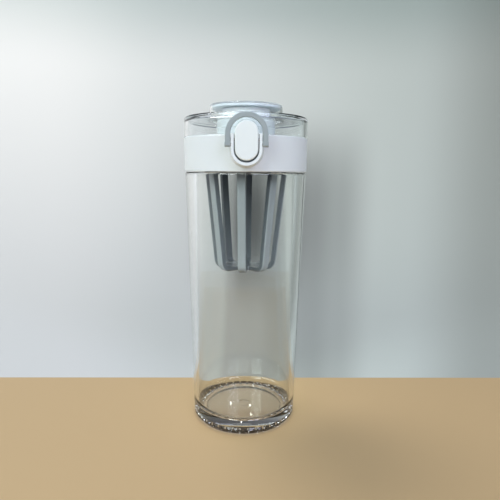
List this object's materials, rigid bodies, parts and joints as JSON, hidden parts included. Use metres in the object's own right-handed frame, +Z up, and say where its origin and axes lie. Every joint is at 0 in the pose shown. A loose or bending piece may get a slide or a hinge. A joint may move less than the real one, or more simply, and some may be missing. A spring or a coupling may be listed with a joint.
{
  "type": "fruit infuser water bottle",
  "caption": "Clear round water bottle with a grey fruit basket inside, a white screw lid, a clear flip cover, a front release button and a grey lock bail.",
  "frame": {"origin": "centre of the bottle's foot, on the surface it stands on", "axes": "+Z up along the bottle's axis, -Y towards the front with the release button, +Y towards the hinge"},
  "size_m": [0.078, 0.0934, 0.2054],
  "materials": {
    "clear_body": "clear, polished, moulded copolyester",
    "clear_cover": "clear, polished, moulded copolyester",
    "grey_plastic": "moulded grey polypropylene, semi-gloss",
    "white_plastic": "moulded white polypropylene, semi-gloss",
    "button_plastic": "moulded white plastic, glossy",
    "bail_plastic": "moulded grey plastic, semi-gloss",
    "white_silicone": "soft translucent white silicone",
    "grey_silicone": "soft grey silicone, matte",
    "steel": "stainless steel, plain"
  },
  "bodies": {
    "bottle": {"bottle_body": "clear_body"},
    "infuser": {"infuser_basket": "grey_plastic", "infuser_gasket": "white_silicone"},
    "lid_seal": {"lid_seal": "white_silicone"},
    "stem_seal": {"stem_seal": "white_silicone"},
    "lid": {"collar_shell": "white_plastic", "lid_base": "white_plastic", "spout": "white_plastic", "spout_nut": "white_plastic", "hinge_pin": "steel", "hinge_spring": "steel", "button_pin": "steel", "button_spring": "steel", "bail_pins": "steel"},
    "cover": {"flip_cover": "clear_cover", "cover_seal": "grey_silicone"},
    "button": {"release_button": "button_plastic"},
    "bail": {"lock_bail": "bail_plastic"}
  },
  "joints": [
    {"name": "infuser_lift", "type": "slide", "parent": "bottle", "child": "infuser", "axis": [0, 0, 1], "range_m": [0, 0.09]},
    {"name": "lid_lift", "type": "slide", "parent": "infuser", "child": "lid_seal", "axis": [0, 0, 1], "range_m": [0, 0.06]},
    {"name": "lid_rise", "type": "slide", "parent": "lid_seal", "child": "stem_seal", "axis": [0, 0, 1], "range_m": [0, 0.009]},
    {"name": "lid_turn", "type": "hinge", "parent": "stem_seal", "child": "lid", "pos_m": [0, 0, 0.1842], "axis": [0, 0, 1], "range_deg": [0, 360]},
    {"name": "cover_hinge", "type": "hinge", "parent": "lid", "child": "cover", "pos_m": [0, 0.0418, 0.1834], "axis": [-1, 0, 0], "range_deg": [0, 130]},
    {"name": "button_press", "type": "hinge", "parent": "lid", "child": "button", "pos_m": [0, -0.0416, 0.1822], "axis": [1, 0, 0], "range_deg": [0, 5], "stiffness_Nm_per_rad": 0.02},
    {"name": "bail_swing", "type": "hinge", "parent": "lid", "child": "bail", "pos_m": [0, -0.04475, 0.1792], "axis": [1, 0, 0], "range_deg": [0, 180]}
  ],
  "couplings": [
    {"joint": "lid_rise", "follows": "lid_turn", "m_per_rad": 0.0014324}
  ]
}
